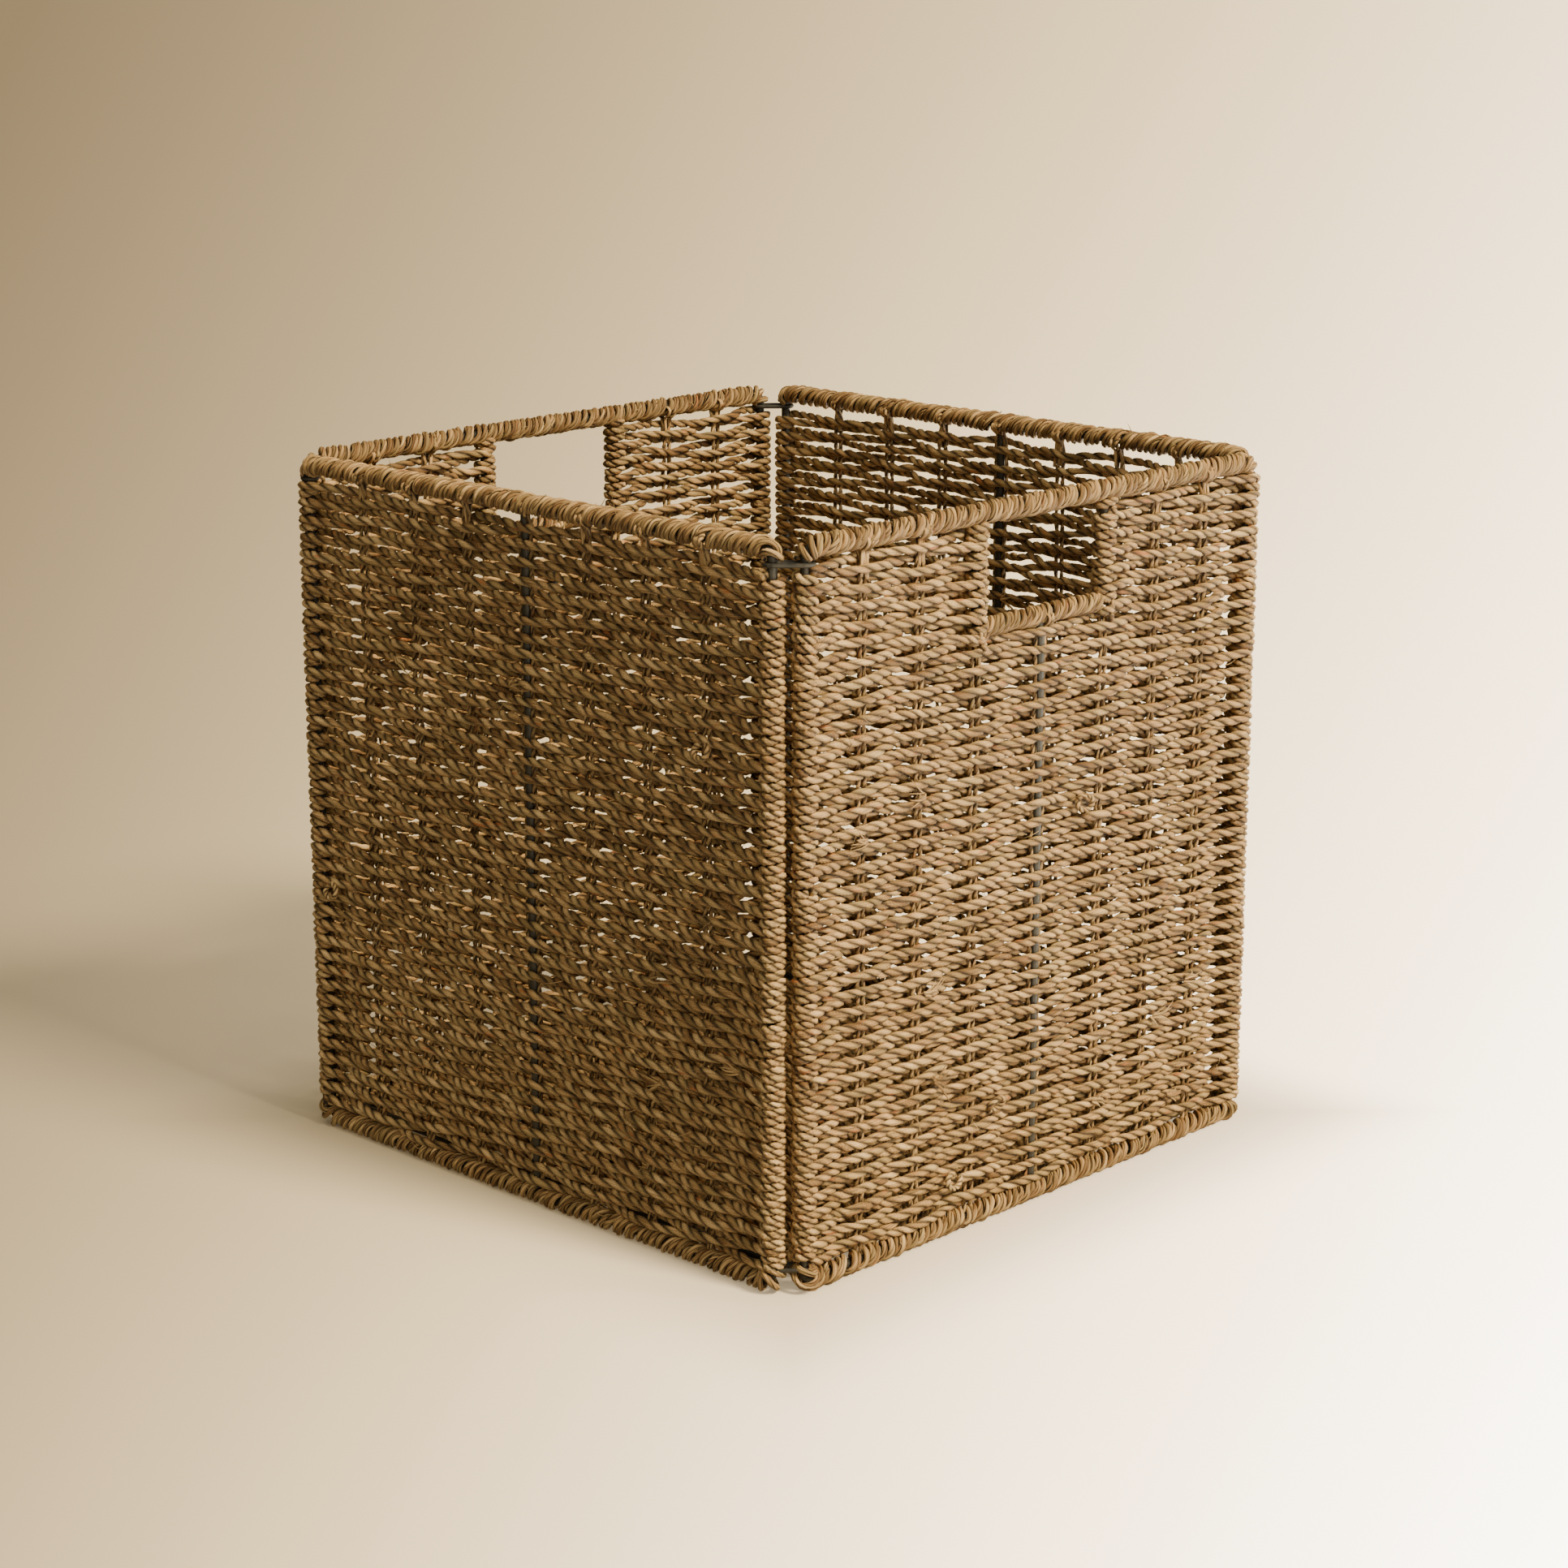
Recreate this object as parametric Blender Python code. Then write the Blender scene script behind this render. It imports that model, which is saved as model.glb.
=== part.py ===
"""Folding seagrass storage basket: four wire-framed woven walls linked at their corners, and a base panel that
lifts. Metres, +Z up. The origin is on the floor under the middle of the basket. The front wall faces -Y, the
right wall +X, and the left and right walls have a hand slot under the rim.

Each panel is made flat in its own frame first: u runs along the panel, v up it, and w through it.
"""

from math import cos, pi, radians, sin

import bmesh
import bpy
import numpy as np
from mathutils import Matrix, Vector

# Driving dimensions
WIDTH = 0.300  # between the middle planes of the left and right walls
DEPTH = 0.300  # between the middle planes of the front and back walls
HEIGHT = 0.310  # floor to the top of the rim
ROD_D = 0.004  # iron rod of the frames, stakes and hand slots
RAIL_WRAP_D = 0.009  # over the windings of the top and bottom rails
HANDLE_WRAP_D = 0.008  # over the windings of the hand slot's bar
WEAVE_T = 0.010  # thickness of the woven panels
CORNER_SETBACK = 0.009  # wall's side rod to the line where the walls' middle planes meet
FRAME_BEND_R = 0.005  # middle line of the rod at a frame's corners
HANDLE_BEND_R = 0.006  # middle line of the rod at the hand slot's lower corners
HANDLE_SPAN = 0.082  # between the middles of the hand slot's legs
HANDLE_DROP = 0.047  # middle of the rim rod to the middle of the hand slot's bar
LOOP_D = 0.0018  # wire of the loops that join the walls at their corners
TIE_D = 0.0012  # cord that hinges the base to the back wall
BASE_RISE = 0.0062  # floor to the middle plane of the base
BASE_SIDE_GAP = 0.006  # base's woven edge to the inner face of the left and right walls
BASE_END_GAP = 0.0045  # base's end rods to the inner faces of the front and back walls
BASE_STAKES = 3
TIES = 4
TIE_SPREAD = 0.062  # between neighbouring ties of the base
TIE_SEAT = 0.0006  # winding left under a tie where it sinks into the bottom rail

# Clearances
FIT = 0.0003  # rod in its windings or its weave, and between faces that meet
WRAP_END_GAP = 0.0006  # rail windings to the start of the rod's bend

ROD_SIDES = 10
WRAP_SIDES = 12
LOOP_SIDES = 8
BEND_STEPS = 5

ROD_R = ROD_D / 2
BORE_R = ROD_R + FIT
LOOP_R = LOOP_D / 2
TIE_R = TIE_D / 2
LOOP_ROOM = LOOP_D + 2 * FIT  # bare straight rod between a frame's bend and its weave
TIE_REACH = BORE_R + TIE_SEAT + FIT + TIE_R  # middle line of a tie round the middle of a rod
WALL_RODS = {"front": WIDTH, "back": WIDTH, "right": DEPTH, "left": DEPTH}
BOTTOM_V = RAIL_WRAP_D / 2
TOP_V = HEIGHT - RAIL_WRAP_D / 2
HANDLE_V = TOP_V - HANDLE_DROP

SEAGRASS = ("seagrass", (0.44, 0.33, 0.18), 0.72, 0.0)
SEAGRASS_WINDING = ("seagrass_winding", (0.40, 0.29, 0.15), 0.68, 0.0)
PAINTED_IRON = ("painted_iron", (0.09, 0.09, 0.075), 0.50, 0.6)
TWINE = ("twine", (0.33, 0.24, 0.13), 0.80, 0.0)


def clear_scene():
    for thing in list(bpy.data.objects):
        bpy.data.objects.remove(thing, do_unlink=True)


def material(finish):
    """The material of this finish, made the first time that it is asked for."""
    name, colour, roughness, metallic = finish
    found = bpy.data.materials.get(name)
    if found:
        return found
    made = bpy.data.materials.new(name)
    made.use_nodes = True
    shader = made.node_tree.nodes["Principled BSDF"]
    shader.inputs["Base Color"].default_value = (*colour, 1.0)
    shader.inputs["Roughness"].default_value = roughness
    shader.inputs["Metallic"].default_value = metallic
    made.diffuse_color = (*colour, 1.0)
    return made


def add_object(name, mesh_data, finish, place=None):
    """Links a bmesh as an object whose origin is where place puts the panel's own origin."""
    bmesh.ops.recalc_face_normals(mesh_data, faces=mesh_data.faces)
    mesh = bpy.data.meshes.new(name)
    mesh_data.to_mesh(mesh)
    mesh_data.free()
    mesh.materials.append(material(finish))
    mesh.shade_smooth()
    mesh.set_sharp_from_angle(angle=radians(40))
    made = bpy.data.objects.new(name, mesh)
    bpy.context.collection.objects.link(made)
    if place is not None:
        made.matrix_world = place
    return made


def cut(target, cutter):
    """Boolean difference. The cutter stays as a hidden guide."""
    cutter.hide_render = True
    cutter.display_type = "WIRE"
    modifier = target.modifiers.new("cut_" + cutter.name, "BOOLEAN")
    modifier.operation = "DIFFERENCE"
    modifier.solver = "EXACT"
    modifier.object = cutter


def ring_of_points(centre, direction, side, radius, sides):
    """A circle of points round centre, square to direction, with a flat edge turned to -side."""
    direction = direction.normalized()
    across = direction.cross(side).normalized()
    lift = across.cross(direction).normalized()
    turns = [2 * pi * (i + 0.5) / sides for i in range(sides)]
    reach = radius / cos(pi / sides)
    return [centre - reach * cos(t) * lift + reach * sin(t) * across for t in turns]


def tube(path, side, radius, sides, closed=False):
    """A round rod along a path of points, of this radius across its flats. side is a direction that the path
    never runs along."""
    bm = bmesh.new()
    rings = []
    count = len(path)
    for i, point in enumerate(path):
        before = path[(i - 1) % count] if closed or i > 0 else point
        after = path[(i + 1) % count] if closed or i < count - 1 else point
        points = ring_of_points(point, after - before, side, radius, sides)
        rings.append([bm.verts.new(p) for p in points])
    for i in range(count if closed else count - 1):
        near, far = rings[i], rings[(i + 1) % count]
        for j in range(sides):
            k = (j + 1) % sides
            bm.faces.new((near[j], near[k], far[k], far[j]))
    if not closed:
        bm.faces.new(reversed(rings[0]))
        bm.faces.new(rings[-1])
    return bm


def sleeve(start, end, side, outer_r, bore_r, sides):
    """A straight sleeve from start to end, open at both ends, with a flat of its outside turned to -side."""
    bm = bmesh.new()
    along = end - start
    rows = []
    for point, radius in ((start, outer_r), (end, outer_r), (end, bore_r), (start, bore_r)):
        points = ring_of_points(point, along, side, radius, sides)
        rows.append([bm.verts.new(p) for p in points])
    for i in range(4):
        near, far = rows[i], rows[(i + 1) % 4]
        for j in range(sides):
            k = (j + 1) % sides
            bm.faces.new((near[j], near[k], far[k], far[j]))
    return bm


def arc(centre, radius, start_degrees, end_degrees, steps=BEND_STEPS):
    """Points (u, v) round an arc, both ends included."""
    angles = np.radians(np.linspace(start_degrees, end_degrees, steps + 1))
    return [(centre[0] + radius * cos(a), centre[1] + radius * sin(a)) for a in angles]


def frame_loop(half_u, low_v, high_v):
    """The middle line of a frame's rod: a rectangle with round corners, in the panel's own plane."""
    inner_u = half_u - FRAME_BEND_R
    inner_low, inner_high = low_v + FRAME_BEND_R, high_v - FRAME_BEND_R
    outline = (
        arc((inner_u, inner_low), FRAME_BEND_R, -90, 0)
        + arc((inner_u, inner_high), FRAME_BEND_R, 0, 90)
        + arc((-inner_u, inner_high), FRAME_BEND_R, 90, 180)
        + arc((-inner_u, inner_low), FRAME_BEND_R, 180, 270)
    )
    return [Vector((u, 0, v)) for u, v in outline]


def handle_path(top_v):
    """The middle line of a hand slot's rod: down one leg, along the bar and up the other leg."""
    leg_u, inner_u = HANDLE_SPAN / 2, HANDLE_SPAN / 2 - HANDLE_BEND_R
    bend_v = HANDLE_V + HANDLE_BEND_R
    outline = (
        [(-leg_u, top_v)]
        + arc((-inner_u, bend_v), HANDLE_BEND_R, 180, 270)
        + arc((inner_u, bend_v), HANDLE_BEND_R, 270, 360)
        + [(leg_u, top_v)]
    )
    return [Vector((u, 0, v)) for u, v in outline]


def extrude_outline(outline, direction, length):
    """A solid from a closed outline of points, pushed along direction by length."""
    bm = bmesh.new()
    face = bm.faces.new([bm.verts.new(p) for p in outline])
    moved = bmesh.ops.extrude_face_region(bm, geom=[face])
    verts = [v for v in moved["geom"] if isinstance(v, bmesh.types.BMVert)]
    bmesh.ops.translate(bm, verts=verts, vec=direction * length)
    return bm


def slab(half_u, low_v, high_v):
    """A woven panel's body: round side edges, and as long as the straight part of the side rods. half_u is the
    middle of the side rods."""
    half_t = WEAVE_T / 2
    right = arc((half_u, 0), half_t, -90, 90, steps=6)
    left = arc((-half_u, 0), half_t, 90, 270, steps=6)
    outline = [Vector((u, w, low_v)) for u, w in right + left]
    return extrude_outline(outline, Vector((0, 0, 1)), high_v - low_v)


def box(low, high):
    bm = bmesh.new()
    bmesh.ops.create_cube(bm, size=1.0)
    for vert in bm.verts:
        vert.co = Vector(lo + (hi - lo) * (c + 0.5) for lo, hi, c in zip(low, high, vert.co, strict=True))
    return bm


def channel(target, place, points, name):
    """Cuts the room for a rod that runs along these points."""
    cutter = add_object(name, tube(points, Vector((0, 1, 0)), BORE_R, WRAP_SIDES), PAINTED_IRON, place)
    cut(target, cutter)


def upright(u, low_v, high_v):
    return [Vector((u, 0, low_v)), Vector((u, 0, high_v))]


def wall_frame(name, place, half_u):
    path = frame_loop(half_u, BOTTOM_V, TOP_V)
    bm = tube(path, Vector((0, 1, 0)), ROD_R, ROD_SIDES, closed=True)
    add_object(name + "_frame", bm, PAINTED_IRON, place)


def wall_stake(name, place, top_v):
    """The upright rod between the bottom rail and the rod above it, with its ends butted against both."""
    low, high = BOTTOM_V + ROD_R + FIT, top_v - ROD_R - FIT
    bm = tube(upright(0, low, high), Vector((0, 1, 0)), ROD_R, ROD_SIDES)
    add_object(name + "_centre_stake", bm, PAINTED_IRON, place)


def rail_wrap(name, place, half_u, v, uprights, grooves=()):
    """The windings of one rail, with holes for the uprights that meet the rod and grooves where ties sink in.
    uprights is a list of (u, the v that the upright comes from)."""
    end = half_u - FRAME_BEND_R - WRAP_END_GAP
    start, stop = Vector((-end, 0, v)), Vector((end, 0, v))
    bm = sleeve(start, stop, Vector((0, 0, 1)), RAIL_WRAP_D / 2, BORE_R, WRAP_SIDES)
    made = add_object(name, bm, SEAGRASS_WINDING, place)
    for i, (u, from_v) in enumerate(uprights):
        channel(made, place, upright(u, v, from_v), f"guide_{name}_{i}")
    for i, u in enumerate(grooves):
        near, far = Vector((u - TIE_R - FIT, 0, v)), Vector((u + TIE_R + FIT, 0, v))
        ring = sleeve(near, far, Vector((0, 0, 1)), RAIL_WRAP_D, BORE_R + TIE_SEAT, WRAP_SIDES)
        cut(made, add_object(f"guide_{name}_tie_{i}", ring, TWINE, place))


def wall_weave(name, place, half_u, has_handle):
    """The woven sheet: a slab round its rods, open at the hand slot."""
    low = BOTTOM_V + FRAME_BEND_R + LOOP_ROOM
    high = TOP_V - FRAME_BEND_R - LOOP_ROOM
    made = add_object(name + "_weave", slab(half_u, low, high), SEAGRASS, place)
    past = 0.01
    for side, u in (("a", -half_u), ("b", half_u)):
        channel(made, place, upright(u, low - past, high + past), f"guide_{name}_side_{side}")
    stake_top = high + past
    if has_handle:
        slot_u = HANDLE_SPAN / 2 - WEAVE_T / 2
        slot_low = HANDLE_V - HANDLE_WRAP_D / 2 - FIT
        corners = (-slot_u, -WEAVE_T, slot_low), (slot_u, WEAVE_T, high + past)
        cut(made, add_object(f"guide_{name}_slot", box(*corners), SEAGRASS, place))
        channel(made, place, handle_path(high + past), f"guide_{name}_legs")
        stake_top = HANDLE_V
    channel(made, place, upright(0, low - past, stake_top), f"guide_{name}_stake")


def handle(name, place):
    """The bent rod of a hand slot, and the windings of its bar."""
    path = handle_path(TOP_V - ROD_R - FIT)
    bm = tube(path, Vector((0, 1, 0)), ROD_R, ROD_SIDES)
    add_object(name + "_handle_bar", bm, PAINTED_IRON, place)
    end = HANDLE_SPAN / 2 - HANDLE_BEND_R - FIT
    start, stop = Vector((-end, 0, HANDLE_V)), Vector((end, 0, HANDLE_V))
    bm = sleeve(start, stop, Vector((0, 0, 1)), HANDLE_WRAP_D / 2, BORE_R, WRAP_SIDES)
    made = add_object(name + "_handle_wrap", bm, SEAGRASS_WINDING, place)
    channel(made, place, upright(0, BOTTOM_V, HANDLE_V), f"guide_{name}_handle_stake")


def wall(name, place, has_handle, tie_places=()):
    half_u = WALL_RODS[name] / 2 - CORNER_SETBACK
    wall_frame(name, place, half_u)
    stake_top = HANDLE_V if has_handle else TOP_V
    wall_stake(name, place, stake_top)
    wall_weave(name, place, half_u, has_handle)
    legs = [-HANDLE_SPAN / 2, HANDLE_SPAN / 2] if has_handle else [0.0]
    under_rim = TOP_V - RAIL_WRAP_D
    above_rail = BOTTOM_V + RAIL_WRAP_D
    rail_wrap(name + "_top_wrap", place, half_u, TOP_V, [(u, under_rim) for u in legs])
    rail_wrap(name + "_bottom_wrap", place, half_u, BOTTOM_V, [(0.0, above_rail)], tie_places)
    if has_handle:
        handle(name, place)


def loop_round(rod_a, rod_b, axis, reach, radius):
    """A closed cord of this radius round two rods that run along axis, its middle line reach from each."""
    along = (rod_b - rod_a).normalized()
    across = axis.cross(along).normalized()
    path = []
    for centre, sense in ((rod_b, 1), (rod_a, -1)):
        for degrees in np.linspace(-90, 90, 7):
            a = radians(degrees)
            path.append(centre + reach * sense * (cos(a) * along + sin(a) * across))
    return tube(path, axis, radius, LOOP_SIDES, closed=True)


def corner_loops():
    """The loops that hold neighbouring walls' side rods together, on the bare rod by the frames' corners."""
    low = BOTTOM_V + FRAME_BEND_R + LOOP_ROOM / 2
    high = TOP_V - FRAME_BEND_R - LOOP_ROOM / 2
    reach = ROD_R + FIT + LOOP_R
    for level, v in (("bottom", low), ("top", high)):
        for end, sy in (("front", -1), ("back", 1)):
            for side, sx in (("left", -1), ("right", 1)):
                on_side = Vector((sx * WIDTH / 2, sy * (DEPTH / 2 - CORNER_SETBACK), v))
                on_end = Vector((sx * (WIDTH / 2 - CORNER_SETBACK), sy * DEPTH / 2, v))
                bm = loop_round(on_side, on_end, Vector((0, 0, 1)), reach, LOOP_R)
                add_object(f"{level}_{end}_{side}_loop", bm, PAINTED_IRON)


def base(back_rod_y):
    """The base panel, made flat with its v along -Y from its back rod, which is its hinge."""
    half_u = WIDTH / 2 - WEAVE_T / 2 - BASE_SIDE_GAP - WEAVE_T / 2
    length = 2 * back_rod_y
    place = Matrix.Translation((0, back_rod_y, BASE_RISE)) @ Matrix.Rotation(radians(90), 4, "X")
    frame = tube(frame_loop(half_u, 0.0, length), Vector((0, 1, 0)), ROD_R, ROD_SIDES, closed=True)
    add_object("base_frame", frame, PAINTED_IRON, place)
    low, high = FRAME_BEND_R + LOOP_ROOM, length - FRAME_BEND_R - LOOP_ROOM
    weave = add_object("base_weave", slab(half_u, low, high), SEAGRASS, place)
    past = 0.01
    spacing = 2 * half_u / (BASE_STAKES + 1)
    for i in range(BASE_STAKES + 2):
        points = upright(-half_u + i * spacing, low - past, high + past)
        channel(weave, place, points, f"guide_base_weave_{i}")
    for i in range(BASE_STAKES):
        u = -half_u + (i + 1) * spacing
        stake = tube(upright(u, ROD_R + FIT, length - ROD_R - FIT), Vector((0, 1, 0)), ROD_R, ROD_SIDES)
        add_object(f"base_stake_{i + 1}", stake, PAINTED_IRON, place)


def base_ties(tie_places, back_rod_y):
    """The cords that hinge the base's back rod to the back wall's bottom rail."""
    for i, x in enumerate(tie_places):
        on_base = Vector((x, back_rod_y, BASE_RISE))
        on_wall = Vector((x, DEPTH / 2, BOTTOM_V))
        bm = loop_round(on_base, on_wall, Vector((1, 0, 0)), TIE_REACH, TIE_R)
        add_object(f"base_tie_{i + 1}", bm, TWINE)


def hang(prefixes, axis_name, x, y, z):
    """Parents the pieces and guides with these name prefixes to an empty on the axis that they turn about."""
    pivot = bpy.data.objects.new(axis_name, None)
    pivot.location = (x, y, z)
    bpy.context.collection.objects.link(pivot)
    for thing in list(bpy.data.objects):
        if thing.name.removeprefix("guide_").startswith(prefixes):
            thing.parent = pivot
            thing.matrix_parent_inverse = Matrix.Translation((-x, -y, -z))


def main():
    clear_scene()
    tie_places = [(i - (TIES - 1) / 2) * TIE_SPREAD for i in range(TIES)]
    back_rod_y = DEPTH / 2 - WEAVE_T / 2 - BASE_END_GAP - ROD_R
    quarter = Matrix.Rotation(radians(90), 4, "Z")
    wall("front", Matrix.Translation((0, -DEPTH / 2, 0)), False)
    wall("back", Matrix.Translation((0, DEPTH / 2, 0)), False, tie_places)
    wall("right", Matrix.Translation((WIDTH / 2, 0, 0)) @ quarter, True)
    wall("left", Matrix.Translation((-WIDTH / 2, 0, 0)) @ quarter, True)
    corner_loops()
    base(back_rod_y)
    base_ties(tie_places, back_rod_y)
    # Neighbouring walls turn about the line midway between their side rods.
    corner_x, corner_y = (WIDTH - CORNER_SETBACK) / 2, (DEPTH - CORNER_SETBACK) / 2
    right_pieces = ("right_", "top_front_right", "bottom_front_right")
    left_pieces = ("left_", "top_front_left", "bottom_front_left")
    hang(right_pieces, "axis_right_wall", corner_x, corner_y, 0)
    hang(left_pieces, "axis_left_wall", -corner_x, corner_y, 0)
    hang(("front_",), "axis_front_wall", corner_x, -corner_y, 0)
    hang(("base_frame", "base_weave", "base_stake"), "axis_base", 0, back_rod_y, BASE_RISE)


main()
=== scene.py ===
"""A folding seagrass basket: everything woven and wound, and all materials. Metres, +Z up.

Each panel (a wall or the base) is made in its own coordinates: u along it, v up it and w out of it. All that
is woven or wound is swept strands: the weft is one two-ply rope that runs over and under the warps and turns
round the side rods, the warps are pairs of thin cords, and the rails are wound with bundles of leaf fibres.
"""

import math

import bpy
import numpy as np
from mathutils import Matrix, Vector


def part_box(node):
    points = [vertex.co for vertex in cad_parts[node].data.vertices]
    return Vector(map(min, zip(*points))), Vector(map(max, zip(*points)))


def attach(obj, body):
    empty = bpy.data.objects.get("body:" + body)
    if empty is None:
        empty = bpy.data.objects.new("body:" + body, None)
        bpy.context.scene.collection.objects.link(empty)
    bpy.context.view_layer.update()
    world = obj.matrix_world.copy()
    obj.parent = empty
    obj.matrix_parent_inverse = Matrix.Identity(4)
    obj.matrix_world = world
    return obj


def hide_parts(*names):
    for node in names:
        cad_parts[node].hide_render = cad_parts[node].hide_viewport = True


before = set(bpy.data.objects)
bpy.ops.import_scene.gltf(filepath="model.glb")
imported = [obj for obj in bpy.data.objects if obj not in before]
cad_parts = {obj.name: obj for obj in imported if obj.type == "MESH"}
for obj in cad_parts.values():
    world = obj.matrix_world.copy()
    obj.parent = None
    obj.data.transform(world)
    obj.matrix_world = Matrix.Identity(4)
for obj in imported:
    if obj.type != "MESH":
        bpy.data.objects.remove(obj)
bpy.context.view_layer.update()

MM = 0.001
FLOOR_GAP = 0.2 * MM  # the windings that the basket stands on are pressed flat there

STRAND_GAP = 2 * MM  # between one strand and the next in the UV map's rows
CAP_STRIP = 0.0001  # and what a strand's first cap has there

# A waver is the spacing and the size of smooth random changes along a strand.

# The rope
ROPE_PITCH = 14.8 * MM  # one full turn of the two plies
FIBRE_LAY = 1.35  # a ply's fibres turn this much against its own turn: outside, they follow the rope
PLY_OFFSET = 0.77 * MM
PLY_THICK = 1.24 * MM  # half the ply's size away from the rope's middle line
PLY_WIDE = 1.52 * MM  # half its size across that
PLY_SIDES = 8
RIB_DEPTH = 0.12
ROPE_STEP = 1.5 * MM
EDGE_TWIST = 0.75  # how much tighter the rope is twisted where it turns round a rod
TURN_CURVATURE = 120.0  # it bends more sharply than this, per metre, only round a rod
ROPE_WAVERS = {
    "phase": (9 * MM, 0.45), "size": (6 * MM, 0.09), "tone": (16 * MM, 0.17), "ribs": (12 * MM, 1.2),
}

# The weave
ROW_PITCH = 3.65 * MM
ROW_SPREAD = 0.06  # rows lie this much closer at the bottom of a panel and looser at its top
WARP_REACH = 2.4 * MM  # the rope's middle line over a warp, from the panel's middle plane
LOOSE_REACH = 3.3 * MM  # the same on the two walls that are woven looser
EDGE_REACH = 3.55 * MM  # and round a side rod
ROW_WAVER = (18 * MM, 0.38 * MM)  # a row's own rise and fall
LOOSE_WAVER = (11 * MM, 0.62 * MM)
ROW_DEPTH_WAVER = (25 * MM, 0.18 * MM)
TURN_WAVERS = {"radius": (2.0, 0.04), "height": (2.0, 0.22 * MM)}  # spaced in radians of the turn
ROW_FADE = 0.12  # the part of a row, at each end, in which it comes to its own level
SAG_HEIGHT = 45 * MM  # the rows that sink towards the bottom rail
FIELD_CELL = (46 * MM, 22 * MM)
FIELD_CELLS = 40  # each way, with a panel's middle at FIELD_MIDDLE
FIELD_MIDDLE = 18.0
FIELD_RISE = 0.9 * MM
# On each wall: bottom rail to the first row at the edges, how far the first rows sink towards it between the
# edges, and last row to the top rail. The base's rails aren't wound, so its rows lie close to them.
WALL_ROWS = (8.3 * MM, 2.3 * MM, 9.6 * MM)
BASE_ROWS = (4.8 * MM, 0.0, 6.3 * MM)
SLOT_ROW = 6.6 * MM  # last full row to the hand slot's bar
LEG_ROOM = 10 * MM  # a warp closer than this to the slot's leg ends under the slot

# The warps, out from the centre stake on each side
PLAIN_WARPS = (36.5 * MM, 71 * MM, 105 * MM)
HANDLE_WARPS = (41 * MM, 75.5 * MM, 109 * MM)
WARP_PAIR = 3.2 * MM
WARP_CORD = {"pitch": 9 * MM, "scale": 0.56, "sides": 5}
WARP_STEP = 2.0 * MM
TIE_REACH = 5.0 * MM
TIE_FIBRES = 4
TIE_THICK = 0.9 * MM

# The windings
WIND_LEAD = 10.5 * MM  # one turn of the top rails' windings, which have WIND_STARTS bundles side by side
BOTTOM_LEAD = 11.4 * MM
HANDLE_LEAD = 10 * MM
WIND_STARTS = 3
WIND_FIBRES = 4  # in each bundle
WIND_TWIST = 24 * MM
WIND_STEP = 1.3 * MM
RAIL_REACH = 1.4 * MM  # a bundle's middle line, from the rod's surface
HANDLE_REACH = 1.1 * MM
WIND_WAVERS = {
    "angle": (9 * MM, 0.30), "reach": (2.6 * MM, 0.24 * MM), "shift": (1.9 * MM, 0.24 * MM),
    "twist": (9 * MM, 0.9), "spread": (6 * MM, 0.16 * MM), "size": (6 * MM, 0.20), "tone": (14 * MM, 0.17),
    "ribs": (7 * MM, 1.8),
}
FRAME_BEND = 5.0 * MM
CORE_STEP = 0.4 * MM
TOP_TURN = math.radians(84)  # how far a top rail's winding follows the frame's bend
BOTTOM_RISE = 3.2 * MM  # how far a bottom rail's goes up the side rods beyond it
KNOB = 1.5 * MM  # how much thicker it is at the corners
KNOB_LENGTH = 11 * MM

# Loose fibres, on each wall or rail
HAIRS, TUFTS, CURLS = 160, 12, 4
TUFT_FIBRES = 7
RAIL_HAIRS = 16
FACE_W = 4.4 * MM  # the face of the weave, from the panel's middle plane
CURL_CORD = {"pitch": 9 * MM, "scale": 0.62}
CURL_POINTS = 26

# The view and the light
AZIMUTH, ELEVATION, DISTANCE = math.radians(43.98), math.radians(14.74), 1.538
TOWARDS = Vector((
    math.sin(AZIMUTH) * math.cos(ELEVATION), -math.cos(AZIMUTH) * math.cos(ELEVATION), math.sin(ELEVATION),
))
VIEWPOINT = Vector((0.0013, 0.0013, 0.1583)) + TOWARDS * DISTANCE
LENS = 78.3
# The floor's painted light: how its painted brightness falls off, in stops, and the tints that go with it.
PAINTED_FLOOR_FALLOFF = (7.0 * math.cos(AZIMUTH), 7.0 * math.sin(AZIMUTH), -4.0)  # in stops
PAINTED_FLOOR_TINTS = [
    (0.0, (1.0, 0.756, 0.443)), (0.45, (1.0, 0.79, 0.46)),
    (0.8, (1.0, 0.81, 0.56)), (1.0, (1.0, 0.93, 0.80)),
]
KEY_FROM = (1.0, 0.12, 0.92)
SKY_LEAN = (0.72, -0.02, 0.62)

GRASS = {
    "dark": (0.16, 0.078, 0.020), "middle": (0.46, 0.265, 0.090), "light": (0.70, 0.455, 0.18),
    "olive": (0.35, 0.245, 0.080), "red": (0.42, 0.13, 0.030),
}


# Noise, all from seeded generators


def wavering(rng, s, spacing, size):
    """Smooth random values along s, with a new random value every spacing."""
    lo = s.min()
    t = (s - lo) / spacing
    knots = rng.normal(0.0, size, int(t.max()) + 3)
    i = t.astype(int)
    f = t - i
    f = f * f * (3 - 2 * f)
    return knots[i] * (1 - f) + knots[i + 1] * f


class Field:
    """A smooth random height over a panel, the same for all its rows, so that neighbours waver together."""

    def __init__(self, rng, across, up, size):
        self.cells = rng.normal(0.0, size, (FIELD_CELLS, FIELD_CELLS))
        self.across, self.up = across, up

    def __call__(self, u, v):
        x, y = u / self.across + FIELD_MIDDLE, v / self.up + FIELD_MIDDLE
        i, j = x.astype(int), y.astype(int)
        fx, fy = x - i, y - j
        fx, fy = fx * fx * (3 - 2 * fx), fy * fy * (3 - 2 * fy)
        c = self.cells
        low = c[i, j] * (1 - fx) + c[i + 1, j] * fx
        high = c[i, j + 1] * (1 - fx) + c[i + 1, j + 1] * fx
        return low * (1 - fy) + high * fy


# Meshes of swept strands


def unit(vectors):
    return vectors / np.maximum(np.linalg.norm(vectors, axis=-1, keepdims=True), 1e-12)


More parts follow.
